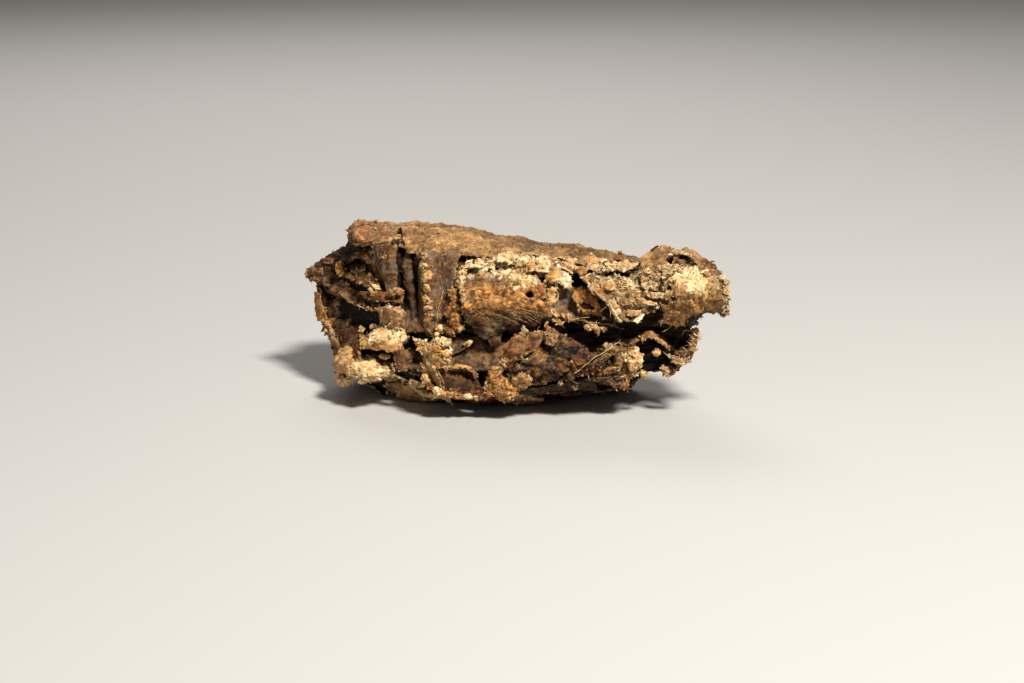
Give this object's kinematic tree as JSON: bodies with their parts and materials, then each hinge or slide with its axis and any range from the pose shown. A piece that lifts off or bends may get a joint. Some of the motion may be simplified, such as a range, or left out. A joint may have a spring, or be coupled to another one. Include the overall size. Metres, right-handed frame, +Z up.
{
  "type": "layered golden-brown nugget",
  "caption": "Irregular natural lump of thin crumpled golden-brown layers with crumbly tan edges, a scrolled curl, fanned flakes and a rounded knob; lies on its flattest side.",
  "frame": {"origin": "middle of the bounding box in X and Y, at the resting flat", "axes": "+X along the length towards the rounded knob, +Y towards the hidden back, +Z up from the resting flat"},
  "size_m": [0.0422, 0.0208, 0.0162],
  "materials": {
    "nugget": "matte, crumbly, layered"
  },
  "bodies": {
    "root": {"nugget": "nugget"}
  },
  "joints": []
}
